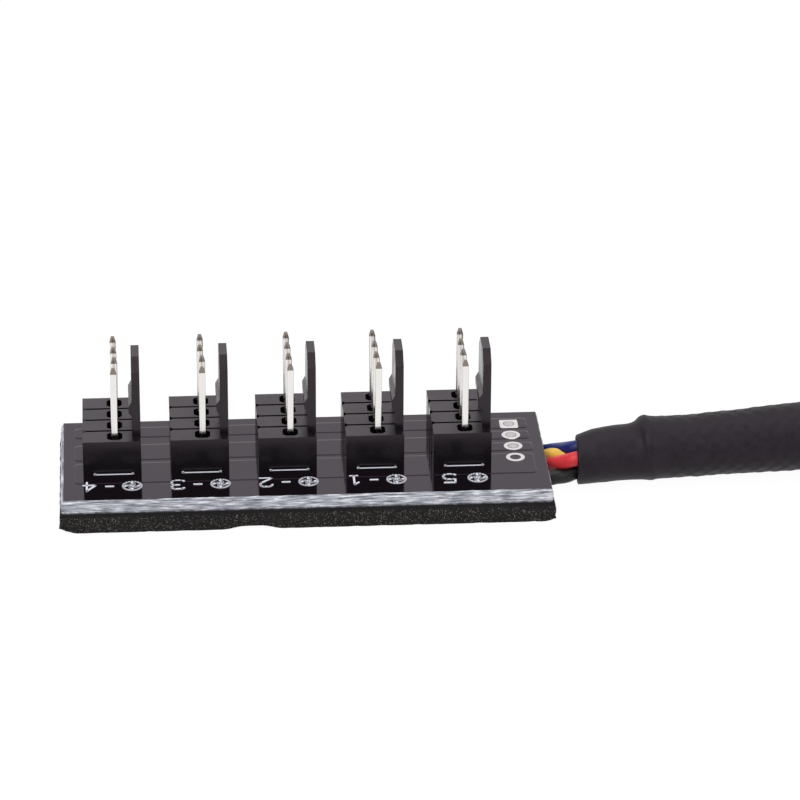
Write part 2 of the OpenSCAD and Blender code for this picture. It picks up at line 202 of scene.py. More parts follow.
def mixed(inside, share, first, second):
    """Socket of a colour between two, each a hex value or a socket."""
    first, second = (srgb(c) if isinstance(c, str) else c for c in (first, second))
    return add(inside, "ShaderNodeMix", {0: share, 6: first, 7: second}, data_type="RGBA").outputs[2]


def tint(shader, share, first, second):
    """Mixes the shader's colour from two, each a hex value or a socket."""
    set_inputs(shader, {"Base Color": mixed(shader.id_data, share, first, second)})


def emboss(shader, strength, depth, height, **settings):
    """Lets a height field bump the shader's normal, to a depth in metres."""
    set_inputs(shader, {"Normal": add(shader.id_data, "ShaderNodeBump", {
        "Strength": strength, "Distance": depth, "Height": height,
    }, **settings).outputs[0]})


def smooth_line(points, steps):
    """Catmull-Rom curve through the points, with that many steps between each two."""
    line = []
    for i in range(len(points) - 1):
        a, b, c, d = (
            Vector(points[j])
            for j in (max(i - 1, 0), i, i + 1, min(i + 2, len(points) - 1))
        )
        for k in range(steps):
            t = k / steps
            line.append((
                2 * b + (c - a) * t + (2 * a - 5 * b + 4 * c - d) * t * t
                + (3 * b - a - 3 * c + d) * t * t * t
            ) / 2)
    line.append(Vector(points[-1]))
    return line


def even_line(line, step):
    """The same line with points a step apart, its last point kept."""
    out, left = [line[0]], step
    for a, b in zip(line, line[1:]):
        gap = (b - a).length
        at = left
        while at < gap:
            out.append(a.lerp(b, at / gap))
            at += step
        left = at - gap
    if (out[-1] - line[-1]).length > step / 3:
        out.append(line[-1])
    return out


def frames_along(line):
    """Heading, side and up at each point, turned as little as possible from one to the next."""
    out, side = [], None
    for i in range(len(line)):
        heading = (line[min(i + 1, len(line) - 1)] - line[max(i - 1, 0)]).normalized()
        if side is None:
            side = Vector((0, 0, 1)).cross(heading).normalized()
        side = (side - heading * side.dot(heading)).normalized()
        out.append((heading, side, heading.cross(side)))
    return out


def tube_mesh(line, radius_at, sides):
    """A closed tube along a line, with a UV map: once round in U, millimetres along in V."""
    verts, faces, along = [], [], [0.0]
    for a, b in zip(line, line[1:]):
        along.append(along[-1] + (b - a).length)
    for i, (heading, side, up) in enumerate(frames_along(line)):
        for k in range(sides):
            angle = 2 * math.pi * k / sides
            reach = radius_at(along[i], angle)
            verts.append((line[i] + side * math.cos(angle) * reach + up * math.sin(angle) * reach) * MM)
    for i in range(len(line) - 1):
        for k in range(sides):
            n = (k + 1) % sides
            faces.append((i * sides + k, i * sides + n, (i + 1) * sides + n, (i + 1) * sides + k))
    last = (len(line) - 1) * sides
    faces.append(tuple(range(sides - 1, -1, -1)))
    faces.append(tuple(last + k for k in range(sides)))
    mesh = bpy.data.meshes.new("tube")
    mesh.from_pydata(verts, [], faces)
    chart = mesh.uv_layers.new(name="along").data
    for face in mesh.polygons:
        if len(face.vertices) != 4:
            continue
        i, k = divmod(face.index, sides)
        corners = ((k, i), (k + 1, i), (k + 1, i + 1), (k, i + 1))
        for loop, (u, v) in zip(face.loop_indices, corners):
            chart[loop].uv = (u / sides, along[v])
        face.use_smooth = True
    return mesh


def place_piece(name, mesh, *materials, slot=None):
    """Names and links a finished mesh, gives it its materials and lets it ride."""
    mesh.name = name
    made = new_object(name, mesh)
    for one in materials:
        mesh.materials.append(one)
    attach(made, "root")
    return made


SLEEVE_D = 5.6
SLEEVE_SIDES = 48
SLEEVE_STEP = 0.38
CURVE_STEPS = 24
CARRIERS = 12
THREADS = 4
BRAID_PITCH = 1.6
BRAID_DEPTH = 0.16
BRAID_FULLNESS = 0.6
COIL_AT = (86.5, 33)
COIL_R = 27
COIL_Z = (3.35, 9.05)
RUN = [
    (33.6, 0.25, 3.15), (35.5, 0.4, 3.2), (41.5, 0.95, 3.2), (47, 1.4, 3.3), (50, 1.65, 3.4),
    (57, 2.3, 3.35), (64, 3.1, 2.95), (73, 4.2, 2.85), (82, 5.3, 2.9),
]
TAIL = [
    (105.2, 11.8, 8.95), (111.3, 15.6, 8.3), (115.9, 20.4, 7.25), (118.8, 26.4, 5.7),
    (120, 30.5, 4.5), (120.3, 33, 3.95), (120.4, 35, 3.8),
]
# The coil's first and last degrees, and those between which it climbs on to the first turn
COIL_IN, HUMP_FROM, HUMP_TO, COIL_OUT = -84, 140, 232, 294
COIL_STEPS = 32


def coil_point(degrees):
    """A point of the coil: flat on the surface, then a long low rise on to the first turn."""
    rise = min(max((degrees - HUMP_FROM) / (HUMP_TO - HUMP_FROM), 0), 1)
    rise = rise * rise * (3 - 2 * rise)
    turn = math.radians(degrees)
    return (
        COIL_AT[0] + COIL_R * math.cos(turn),
        COIL_AT[1] + COIL_R * math.sin(turn),
        COIL_Z[0] + (COIL_Z[1] - COIL_Z[0]) * rise,
    )


coil_line = [
    coil_point(COIL_IN + (COIL_OUT - COIL_IN) * i / COIL_STEPS) for i in range(COIL_STEPS + 1)
]
sleeve_line = even_line(smooth_line(RUN + coil_line + TAIL, CURVE_STEPS), SLEEVE_STEP)


def braid_height(along, angle):
    """Diamond bumps where one strand of the braid crosses over another."""
    a = CARRIERS * angle / (2 * math.pi) + along / BRAID_PITCH
    b = CARRIERS * angle / (2 * math.pi) - along / BRAID_PITCH
    return abs(math.sin(math.pi * a) * math.sin(math.pi * b)) ** BRAID_FULLNESS


def sleeve_radius(along, angle):
    """The sleeve's radius with the braid's relief, in millimetres."""
    return SLEEVE_D / 2 - BRAID_DEPTH + BRAID_DEPTH * braid_height(along, angle)


# Polyester monofilament, braided: four satin threads to a strand, 0.25 mm each
braid, tree, shader = finish_of("braided polyester monofilament", "#151416", roughness=0.42, ior=1.55)
chart = add(tree, "ShaderNodeUVMap", uv_map="along")
split = add(tree, "ShaderNodeSeparateXYZ", {0: chart.outputs[0]})
round_it = math_node(tree, "MULTIPLY", split.outputs[0], float(CARRIERS))
along_it = math_node(tree, "DIVIDE", split.outputs[1], BRAID_PITCH)
strands = [math_node(tree, operation, round_it, along_it) for operation in ("ADD", "SUBTRACT")]
floors = [math_node(tree, "FLOOR", strand) for strand in strands]
over = math_node(tree, "PINGPONG", math_node(tree, "ADD", *floors), 1.0)


def strand_waves(radians):
    """A sine across the strands of each direction, with that many radians to a strand."""
    return [
        math_node(tree, "SINE", math_node(tree, "MULTIPLY", strand, radians)) for strand in strands
    ]


thread_a, thread_b = strand_waves(2 * math.pi * THREADS)
threads = add(tree, "ShaderNodeMix", {0: over, 2: thread_a, 3: thread_b}, data_type="FLOAT").outputs[0]
# Each thread is painted lighter along its crest and darker at its sides: painted light and shade
shade = mixed(tree, ranged(tree, threads, -1.0, 1.0), "#080708", "#1f1d20")
crossing = math_node(tree, "MULTIPLY", *(
    math_node(tree, "ABSOLUTE", wave) for wave in strand_waves(math.pi)
))
covered = math_node(tree, "POWER", crossing, 0.45)
# The gaps between the strands are painted almost black: painted shade
tint(shader, covered, "#010101", shade)
set_inputs(shader, {"Specular IOR Level": ranged(tree, covered, 0.0, 1.0, 0.1, 0.5)})
emboss(shader, 0.8, 0.00006, threads)

sleeve = place_piece(
    "braided_sleeve", tube_mesh(sleeve_line, sleeve_radius, SLEEVE_SIDES), braid, slot="sleeve_braid",
)
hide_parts("sleeve_run", "sleeve_coil", "sleeve_tail")

# Heat-shrink
# Two lengths of black shrunk polyolefin: one from the wires' mouth over the sleeve's end at
# the board, one at the plug. Shrinking left a step over the sleeve's end and dull creases.
SHRINK_WALL = 0.3
# Rings of the two lengths: middle x, y, z and outer radius. The first follows the photograph.
MOUTH = [
    (27.1, -0.6, 2.5, 2.47), (28.2, -0.43, 2.63, 2.64), (29.4, -0.25, 2.75, 2.76),
    (31.4, 0.08, 2.82, 2.82), (32.6, 0.16, 2.86, 2.84), (33.3, 0.2, 2.98, 2.98),
    (33.7, 0.23, 3.15, 3.19), (34.2, 0.27, 3.2, 3.3), (34.7, 0.31, 3.18, 3.19),
    (35.7, 0.42, 3.14, 3.13), (38.5, 0.62, 3.11, 3.11), (41.5, 0.93, 3.18, 3.18),
    (44.5, 1.18, 3.24, 3.24), (47.1, 1.4, 3.34, 3.34), (50, 1.62, 3.4, 3.4),
    (53.5, 1.95, 3.39, 3.39), (57, 2.3, 3.35, 3.35),
]
PLUG_END = [
    (115.9, 20.4, 7.25, 3.2), (118.8, 26.4, 5.7, 3.25), (120, 30.5, 4.5, 3.25), (120.3, 33, 3.95, 3.25),
    (120.4, 35, 3.8, 3.2), (120.4, 36, 3.7, 2.95), (120.4, 39, 3.5, 2.66), (120.4, 42, 3.3, 2.5),
]
RING_STEP = 0.15
HEADING_REACH = 14
INNER_STEP = 6
RIM_ROUND = 0.35
SLANT_REACH = 2.0
# Dents in the wall: how fine for each millimetre, and how deep
DENTS = [(0.45, 0.05), (1.6, 0.02), (4.5, 0.008)]
BRAID_SHOWS = 0.07
BRAID_FADE = 1.5
SHRINK_TIGHT = 0.02


def shrink_relief(spot, along, angle, braid_from, braid_to):
    """How far the shrunk wall stands in or out: soft dents, and the braid that shows through."""
    dent = sum(noise.noise(spot * fine) * deep for fine, deep in DENTS)
    over_braid = min(max((along - braid_from) / BRAID_FADE, 0), 1)
    over_braid *= min(max((braid_to - along) / BRAID_FADE, 0), 1)
    return dent + (braid_height(along, angle) - 0.5) * BRAID_SHOWS * over_braid - SHRINK_TIGHT


def hose_mesh(rings, sides, braid_from, braid_to, tilt=0.0, swing=0.0):
    """A hollow tube whose rings carry their own outer radius, with rounded rims.

    The braid shows through between two places along it, and its first rim can slant."""
    spline = even_line(smooth_line(rings, 12), RING_STEP)
    reach = [p[3] for p in spline]
    line = [Vector(p[:3]) for p in spline]
    last = len(line) - 1
    headings = [
        (line[min(i + HEADING_REACH, last)] - line[max(i - HEADING_REACH, 0)]).normalized()
        for i in range(last + 1)
    ]
    inner = [(i, SHRINK_WALL, 0.0) for i in [*range(last, 0, -INNER_STEP), 0]]
    rows = [(i, 0.0, 0.0) for i in range(last + 1)]
    rows += [(last, SHRINK_WALL * 0.5, SHRINK_WALL * RIM_ROUND)] + inner
    rows += [(0, SHRINK_WALL * 0.5, -SHRINK_WALL * RIM_ROUND)]
    verts = []
    for i, inward, push in rows:
        heading = headings[i]
        side = Vector((0, 0, 1)).cross(heading).normalized()
        up = heading.cross(side)
        along = i * RING_STEP
        fade = max(0.0, 1 - along / SLANT_REACH)
        for k in range(sides):
            angle = 2 * math.pi * k / sides
            out = side * math.cos(angle) + up * math.sin(angle)
            spot = line[i] + out * (reach[i] - inward) + heading * push
            if inward == 0:
                spot += out * shrink_relief(spot, along, angle, braid_from, braid_to)
            slant = tilt * (spot.z - line[i].z) + swing * (spot.y - line[i].y)
            spot += heading * slant * fade
            verts.append(Vector((spot.x, spot.y, max(spot.z, 0))) * MM)
    count = len(rows)
    faces = [
        (i * sides + k, i * sides + (k + 1) % sides,
         ((i + 1) % count) * sides + (k + 1) % sides, ((i + 1) % count) * sides + k)
        for i in range(count) for k in range(sides)
    ]
    mesh = bpy.data.meshes.new("hose")
    mesh.from_pydata(verts, [], faces)
    mesh.shade_smooth()
    return mesh


def object_spot(inside):
    """Socket of the object coordinates, in metres."""
    return add(inside, "ShaderNodeTexCoord").outputs["Object"]


def noise_field(inside, scale, detail, spot=None, **more):
    """Socket of a noise over the object coordinates, or over a spot made from them."""
    return add(inside, "ShaderNodeTexNoise", {
        "Vector": spot or object_spot(inside), "Scale": scale, "Detail": detail, **more,
    }).outputs[0]


# Polyolefin, shrunk: satin black, with a random mottle in its tone and dullness
shrink, tree, shader = finish_of(
    "shrunk polyolefin", "#1f1c20", roughness=0.5, ior=1.5,
    specular_ior_level=0.24, specular_tint=(1.0, 0.85, 1.0, 1.0),
)
mottle = noise_field(tree, 900.0, 6.0, Roughness=0.75)
tint(shader, ranged(tree, mottle, 0.27, 0.73), "#050306", "#221e23")
set_inputs(shader, {"Roughness": ranged(tree, mottle, 0.3, 0.7, 0.42, 0.6)})
emboss(shader, 0.5, 0.00004, noise_field(tree, 3200.0, 2.0))

board_shrink = place_piece(
    "board_heat_shrink", hose_mesh(MOUTH, 96, 8.5, 40, tilt=0.08, swing=0.2), shrink,
    slot="heat_shrink",
)
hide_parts("board_end_shrink")
plug_shrink = place_piece(
    "plug_heat_shrink", hose_mesh(PLUG_END, 80, -2, 14.5), shrink, slot="heat_shrink",
)
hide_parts("plug_end_shrink")

# Wires
# Four stranded copper wires in PVC, 1.5 mm across: black, red, yellow and blue. They rise
# from their pads under the board's end into the heat-shrink, and fan out again at the plug.
WIRE_D = 1.5
CORE_D = 0.7
WIRE_SIDES = 20
WIRE_STEPS, CORE_STEPS = 8, 5
CIRCUIT_PITCH = 2.54
PAD_X = 20.8
PIN_Y = [-1.63, 0.91, 3.45, 5.99]
BUNDLE = 1.15
MOUTH_BUNDLE = 1.2
BOARD_TURN = [240, 150, 330, 50]
WIRE_Z = 0.95
STRIP = 0.9
# Top of each bared core; the black wire's stays low, under the hole that is open
CORE_TOP = [2.65, 3.34, 3.34, 3.34]
# Each wire's way out from under the board and up to the mouth, as seen in the photograph
OVER_EDGE = [
    [(24.16, -1.8, 1.1), (24.86, -1.75, 1.2), (25.88, -1.5, 1.19)],
    [(23.2, 0.8, 0.9), (24.1, 0.6, 1.05), (24.64, 0.15, 1.62), (25.35, -0.6, 2.16), (26.08, -1.2, 2.66)],
    [(23.1, 3.3, 0.85), (23.83, 3.0, 0.9), (24.37, 2.4, 1.45), (25.17, 1.45, 2.02), (26.19, 0.6, 2.3)],
    [(22.9, 5.7, 0.8), (23.7, 5.0, 0.8), (24.34, 4.1, 1.15), (24.92, 3.0, 1.78), (25.78, 1.7, 2.5)],
]
SHRINK_MIDDLE = [(27, -0.6, 2.5), (29.4, -0.25, 2.75), (31.6, 0.05, 2.85)]
PLUG_X, PLUG_Y, CAVITY_Z = 120.4, 57, 2.45
PLUG_TURN = [225, 135, 45, 315]
PLUG_L, NOSE, TERMINAL_GAP, TERMINAL_BOX, CRIMP_L = 12.8, 1, 0.05, 5.5, 2.6
CRIMP_Y = PLUG_Y + PLUG_L - NOSE - TERMINAL_GAP - TERMINAL_BOX - CRIMP_L
WIRE_LOOK = [
    ("black", "#0c0a0c", "#171417"), ("red", "#d63036", "#ee484c"),
    ("yellow", "#f6bd42", "#ffdc74"), ("blue", "#161f5c", "#24307c"),
]
# Copper strands, tinned: silvery, with the diagonal ridges of their lay
copper, tree, shader = finish_of("tinned copper strands", "#cdbfae", metallic=1.0, roughness=0.3)
emboss(shader, 0.6, 0.00005, add(tree, "ShaderNodeTexWave", {
    "Vector": object_spot(tree), "Scale": 900.0, "Distortion": 1.5,
}, bands_direction="DIAGONAL").outputs[1])

wire_paint = {}
for colour, dark, light in WIRE_LOOK:
    # PVC, extruded: half gloss, with a faint cloudiness
    pvc, tree, shader = finish_of(
        "extruded " + colour + " pvc", light, roughness=0.36, ior=1.5,
        specular_ior_level=0.3,
    )
    cloud = noise_field(tree, 420.0, 3.0)
    tint(shader, cloud, dark, light)
    emboss(shader, 0.25, 0.00004, cloud)
    wire_paint[colour] = pvc


def mesh_of(work):
    """A new mesh made from an edited one, which is freed."""
    mesh = bpy.data.meshes.new("made")
    work.to_mesh(mesh)
    work.free()
    return mesh


def wire_mesh(jacket, core):
    """A jacket tube, and the bared core that stands out of it, as one mesh with two materials."""
    whole = bmesh.new()
    for number, (line, radius) in enumerate(((jacket, WIRE_D / 2), (core, CORE_D / 2))):
        part = tube_mesh(line, lambda along, angle, r=radius: r, WIRE_SIDES)
        before = len(whole.faces)
        whole.from_mesh(part)
        bpy.data.meshes.remove(part)
        whole.faces.ensure_lookup_table()
        for face in whole.faces[before:]:
            face.material_index = number
    return mesh_of(whole)


def round_bundle(number, reach, axis):
    """Where wire number lies round the middle of the bundle, which runs along the axis."""
    turn = math.radians((BOARD_TURN if axis == "x" else PLUG_TURN)[number])
    c, s = math.cos(turn), math.sin(turn)
    return Vector((0, c, s) if axis == "x" else (c, 0, s)) * reach


def place_wire(end, node, number, jacket, core):
    """One wire's run at the board or at the plug, in its own colour."""
    colour = WIRE_LOOK[number][0]
    name = colour + "_wire_at_" + end
    piece = place_piece(name, wire_mesh(jacket, core), wire_paint[colour], copper, slot="wire_" + colour)
    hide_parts(f"{node}_{number + 1}")


for number, y in enumerate(PIN_Y):
    inside = [
        Vector(p) + round_bundle(number, MOUTH_BUNDLE if i == 0 else BUNDLE, "x")
        for i, p in enumerate(SHRINK_MIDDLE)
    ]
    end = Vector(RUN[0]) + round_bundle(number, BUNDLE, "x") - Vector((0.15, 0, 0))
    jacket = smooth_line([(PAD_X + STRIP, y, WIRE_Z)] + OVER_EDGE[number] + inside + [end], WIRE_STEPS)
    core = smooth_line([
        (PAD_X + STRIP + 0.6, y, WIRE_Z), (PAD_X + 0.45, y, WIRE_Z), (PAD_X + 0.1, y, WIRE_Z + 0.12),
        (PAD_X, y, WIRE_Z + 0.5), (PAD_X, y, CORE_TOP[number]),
    ], CORE_STEPS)
    place_wire("board", "board_wire", number, jacket, core)

    x = PLUG_X + (number - 1.5) * CIRCUIT_PITCH
    leave = Vector(PLUG_END[-1][:3]) + round_bundle(number, MOUTH_BUNDLE, "y")
    jacket = smooth_line([
        Vector(TAIL[-1]) + Vector((0, 0.15, 0)) + round_bundle(number, MOUTH_BUNDLE, "y"), leave,
        leave + Vector((0, 2, 0)), ((PLUG_X + 2 * x) / 3, PLUG_Y - 7, (leave.z + CAVITY_Z) / 2),
        (x, PLUG_Y - 1.5, CAVITY_Z), (x, PLUG_Y + 1, CAVITY_Z), (x, CRIMP_Y - 0.4, CAVITY_Z),
    ], WIRE_STEPS)
    core = [Vector((x, CRIMP_Y - 1.2 + 0.75 * i, CAVITY_Z)) for i in range(6)]
    place_wire("plug", "plug_wire", number, jacket, core)

# Coil tie
# A black hook-and-loop strap, 9 mm wide, wrapped once round both turns of the coil with its
# end lapped over. The loop side has a short pile.
TIE_AT = 285
TIE_W = 9
TIE_T = 0.5
TIE_GAP = 0.05
TIE_STEPS = 12
TIE_EDGE = 0.12
TIE_TURN_POINTS, LAP_POINTS = 64, 24
LAP_SHARE = 0.3
LAP_GAP = 0.01
LAP_INSET = 0.2


def tie_outline(grow, last=1.0, count=TIE_TURN_POINTS):
    """Points of the path round both turns, grown outwards, as radius and height."""
    reach = SLEEVE_D / 2 + grow
    straight = COIL_Z[1] - COIL_Z[0]
    whole = 2 * straight + 2 * math.pi * reach
    out = []
    for i in range(count):
        s = last * i / (count - 1 if last < 1 else count) * whole
        if s < straight:
            out.append((COIL_R + reach, COIL_Z[0] + s))
            continue
        s -= straight
        if s < math.pi * reach:
            turn = s / reach
            out.append((COIL_R + reach * math.cos(turn), COIL_Z[1] + reach * math.sin(turn)))
            continue
        s -= math.pi * reach
        if s < straight:
            out.append((COIL_R - reach, COIL_Z[1] - s))
            continue
        turn = math.pi + (s - straight) / reach
        out.append((COIL_R + reach * math.cos(turn), COIL_Z[0] + reach * math.sin(turn)))
    return out


def strap_into(whole, inner, outer, closed, widen=0.0):
    """Adds a strap between two outlines to a mesh, spread across the tie's width."""
    half = math.degrees((TIE_W / 2 + widen) / COIL_R)
    rows = []
    for i in range(TIE_STEPS + 1):
        degrees = TIE_AT - half + 2 * half * i / TIE_STEPS
        turn = math.radians(degrees)
        edge = TIE_EDGE if i in (0, TIE_STEPS) else 0.0
        row = []
        for (r0, z0), (r1, z1) in zip(inner, outer):
            near = (r0 + (r1 - r0) * edge, z0 + (z1 - z0) * edge)
            far = (r1 + (r0 - r1) * edge, z1 + (z0 - z1) * edge)
            for r, z in (near, far):
                row.append(whole.verts.new(Vector((
                    COIL_AT[0] + r * math.cos(turn), COIL_AT[1] + r * math.sin(turn), z,
                )) * MM))
        rows.append(row)
    count = len(inner)
    reach = count if closed else count - 1
    for a, b in zip(rows, rows[1:]):
        for k in range(reach):
            n = (k + 1) % count
            whole.faces.new((a[2 * k], b[2 * k], b[2 * n], a[2 * n]))
            whole.faces.new((a[2 * k + 1], a[2 * n + 1], b[2 * n + 1], b[2 * k + 1]))
        if not closed:
            for k in (0, count - 1):
                whole.faces.new((a[2 * k], a[2 * k + 1], b[2 * k + 1], b[2 * k]))
    for row in (rows[0], rows[-1]):
        for k in range(reach):
            n = (k + 1) % count
            whole.faces.new((row[2 * k], row[2 * n], row[2 * n + 1], row[2 * k + 1]))


whole = bmesh.new()
strap_into(whole, tie_outline(TIE_GAP), tie_outline(TIE_GAP + TIE_T), True)
strap_into(
    whole, tie_outline(TIE_GAP + TIE_T + LAP_GAP, LAP_SHARE, LAP_POINTS),
    tie_outline(TIE_GAP + TIE_T + TIE_T, LAP_SHARE, LAP_POINTS), False, widen=-LAP_INSET,
)
bmesh.ops.recalc_face_normals(whole, faces=whole.faces)
tie_mesh = mesh_of(whole)
tie_mesh.shade_smooth()

# Nylon hook-and-loop, woven with a pile: matt, with loops 0.25 mm apart
strap, tree, shader = finish_of("woven nylon loop strap", "#141315", roughness=0.85, ior=1.5)
pile = add(tree, "ShaderNodeTexVoronoi", {"Vector": object_spot(tree), "Scale": 4000.0}).outputs["Distance"]
# The tops of the loops are painted lighter and the gaps between them darker: painted light and shade
tint(shader, pile, "#2a282b", "#0c0b0c")
emboss(shader, 0.9, 0.00012, pile, invert=True)
tie = place_piece("coil_strap", tie_mesh, strap, slot="tie_strap")
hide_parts("coil_tie")


# Plug
# The female fan plug: black nylon with two guide ribs, and four stamped terminals of tinned
# phosphor bronze whose tangs show in the windows of its top.
MERGE_WITHIN = 1e-6
FACES_UP = 0.9
ROUND_FROM = math.radians(28)


def merged_copy(node, name, *dropped):
    """A CAD solid's mesh, copied without materials and dropped attributes, and merged to edit."""
    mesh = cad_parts[node].data.copy()
    mesh.name = name
    mesh.materials.clear()
    for attribute in [a.name for a in mesh.attributes if a.name.startswith(dropped)]:
        mesh.attributes.remove(mesh.attributes[attribute])
    work = bmesh.new()
    work.from_mesh(mesh)
    bmesh.ops.remove_doubles(work, verts=work.verts, dist=MERGE_WITHIN)
    return mesh, work


def rounded_copy(node, name, bevel, slot, *materials):
    """A flat-shaded copy of a CAD solid with its edges rounded by a real amount.

    A second material goes on the faces that look up."""
    mesh, work = merged_copy(node, name, "custom_normal", "sharp")
    work.normal_update()
    for face in work.faces:
        face.smooth = False
        face.material_index = 1 if len(materials) > 1 and face.normal.z > FACES_UP else 0
    work.to_mesh(mesh)
    work.free()
    made = new_object(name, mesh)
    rounding = made.modifiers.new("rounding", "BEVEL")
    rounding.width = bevel * MM
    rounding.segments = 2
    rounding.limit_method = "ANGLE"
    rounding.angle_limit = ROUND_FROM
    for one in materials:
        mesh.materials.append(one)
    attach(made, "root")
    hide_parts(node)
    return made


def nylon_finish(name, smoothest, roughest, sheen, green):
    """Black nylon with a roughness that drifts between two values, and a fine grain."""
    made, tree, shader = finish_of(
        name, "#0c0b0c", roughness=smoothest, ior=sheen,
        specular_tint=(1.0, green, 0.95, 1.0),
    )
    cloud = noise_field(tree, 380.0, 2.0)
    set_inputs(shader, {"Roughness": ranged(tree, cloud, 0.3, 0.7, smoothest, roughest)})
    tint(shader, cloud, "#080708", "#100e10")
    emboss(shader, 0.25, 0.00001, noise_field(tree, 5200.0, 3.0))
    return made


# Nylon 66, moulded: near black and satin on its drawn sides
nylon = nylon_finish("moulded nylon 66", 0.2, 0.32, 1.48, 0.84)
# The same nylon where the mould was spark-eroded, on the faces that look up: duller
nylon_top = nylon_finish("spark-eroded nylon 66", 0.27, 0.37, 1.49, 0.72)

plug = rounded_copy("plug_housing", "fan_plug", 0.1, "plug_nylon", nylon, nylon_top)


def stretched_spot(inside, scale):
    """Socket of the object coordinates, scaled on each axis."""
    return add(inside, "ShaderNodeMapping", {"Vector": object_spot(inside), "Scale": scale}).outputs[0]


def object_height(inside):
    """Socket of the height above the surface, in metres."""
    return add(inside, "ShaderNodeSeparateXYZ", {0: object_spot(inside)}).outputs[2]


# Tin plate on square wire and strip: bright, with drawing marks along its length. The pins'
# cut ends show dull brass.
TIPS_FROM = 0.01357
tin, tree, shader = finish_of("bright tin plate", "#ece9e6", metallic=1.0, roughness=0.16)
marks = noise_field(tree, 5200.0, 3.0, stretched_spot(tree, (1, 1, 0.08)))
cut = math_node(tree, "GREATER_THAN", object_height(tree), TIPS_FROM)
tint(shader, cut, "#ece9e6", "#8a8078")
set_inputs(shader, {"Roughness": ranged(tree, marks, 0.3, 0.7, 0.1, 0.26)})
emboss(shader, 0.2, 0.00001, marks)

terminals = [
    rounded_copy(f"plug_terminal_{n + 1}", f"crimp_terminal_{n + 1}", 0.05, "terminal_tin", tin)
    for n in range(len(PIN_Y))
]

# Circuit board
# Glass-epoxy laminate under a black gloss solder mask. The panel was V-scored and snapped,
# so its pale rough edge stands a little outside the mask.
BOARD_X, BOARD_Y = 23.75, 8.75
BOARD_BOTTOM, BOARD_TOP = 1.9, 3.4
EDGE_LEVELS = [2.2, 2.45, 2.7, 2.95, 3.15]
SNAP_BULGE = {"left": 0.28, "right": 0.16, "front": 0.12, "back": 0.12}
BULGE_FROM_BOTTOM, BULGE_FROM_TOP = 0.35, 0.5
# Roughness of the snapped edge: how fine across and up, a shift, and how deep
BOARD_ROUGH = [(0.9, 3, 0, 0.07), (3.1, 7, 5, 0.05)]
LIP_ROUGH = 0.02
CHIP_DEPTH = 0.16
SIDE_NEAR, FACE_NEAR = 0.001, 0.01


def edge_bulge(z):
    """Share of the bulge at a height: none at both faces, all of it in the snapped middle."""
    rise = min((z - BOARD_BOTTOM) / BULGE_FROM_BOTTOM, (BOARD_TOP - z) / BULGE_FROM_TOP, 1)
    return max(rise, 0)


def rough_at(p, layers):
    """How far a rough side stands in or out at a point."""
    return sum(
        noise.noise(Vector((p.x * across, p.y * across, p.z * up + shift))) * deep
        for across, up, shift, deep in layers
    )


def cut_copy(node, name, x_cuts, y_cuts, z_cuts):
    """A merged CAD solid cut along planes across each axis, so that its sides can be shaped."""
    mesh, work = merged_copy(node, name)
    bmesh.ops.dissolve_limit(work, angle_limit=math.radians(0.5), verts=work.verts, edges=work.edges)
    for axis, cuts in ((2, z_cuts), (0, x_cuts), (1, y_cuts)):
        for cut in cuts:
            place, across = Vector(), Vector()
            place[axis] = cut
            across[axis] = 1
            bmesh.ops.bisect_plane(
                work, geom=work.verts[:] + work.edges[:] + work.faces[:],
                plane_co=place * MM, plane_no=across, dist=1e-7,
            )
    return mesh, work


board_mesh, work = cut_copy(
    "circuit_board", "board", [x * 0.5 - 23.5 for x in range(95)],
    [y * 0.5 - 8.5 for y in range(35)], EDGE_LEVELS,
)
for vert in work.verts:
    p = vert.co / MM
    share = edge_bulge(p.z)
    rough = rough_at(p, BOARD_ROUGH)
    at_top = abs(p.z - BOARD_TOP) < FACE_NEAR
    at_face = at_top or abs(p.z - BOARD_BOTTOM) < FACE_NEAR
    step = Vector()
    if abs(p.x + BOARD_X) < SIDE_NEAR:
        step.x = -(SNAP_BULGE["left"] * share + rough * share) + (LIP_ROUGH * rough if at_face else 0)
    elif abs(p.x - BOARD_X) < SIDE_NEAR:
        step.x = SNAP_BULGE["right"] * share + rough * share
    if abs(p.y + BOARD_Y) < SIDE_NEAR:
        step.y = -(SNAP_BULGE["front"] * share + rough * share)
        if at_top:
            step.y += max(0, noise.noise(Vector((p.x * 2.3, 1.7, 0)))) * CHIP_DEPTH
    elif abs(p.y - BOARD_Y) < SIDE_NEAR:
        step.y = SNAP_BULGE["back"] * share + rough * share
    vert.co = (p + step) * MM
work.normal_update()
for face in work.faces:
    at_rim = abs(face.normal.z) < 0.8
    face.material_index = 1 if at_rim else 0
    face.smooth = at_rim


def slab_into(whole, outline, z0, z1, slope):
    """Adds a raised flat shape whose sides lean in by slope from z0 to z1."""
    def ring(shrink, z):
        made = []
        count = len(outline)
        for i in range(count):
            before, here, after = (Vector(outline[j % count]) for j in (i - 1, i, i + 1))
            a = (here - before).normalized()
            b = (after - here).normalized()
            inward = Vector((-a.y - b.y, a.x + b.x))
            inward = inward / max(inward.length_squared / 2, 0.3)
            spot_at = here + inward * shrink
            made.append(whole.verts.new((spot_at.x * MM, spot_at.y * MM, z * MM)))
        return made

    levels = [(0.0, z0), (slope, z1)]
    if slope:
        levels[1:1] = [(slope * 0.35, z0 + (z1 - z0) * 0.3), (slope * 0.7, z0 + (z1 - z0) * 0.75)]
    rings = [ring(*level) for level in levels]
    for low, high in zip(rings, rings[1:]):
        for i in range(len(low)):
            n = (i + 1) % len(low)
            whole.faces.new((low[i], low[n], high[n], high[i]))
    whole.faces.new(rings[-1])


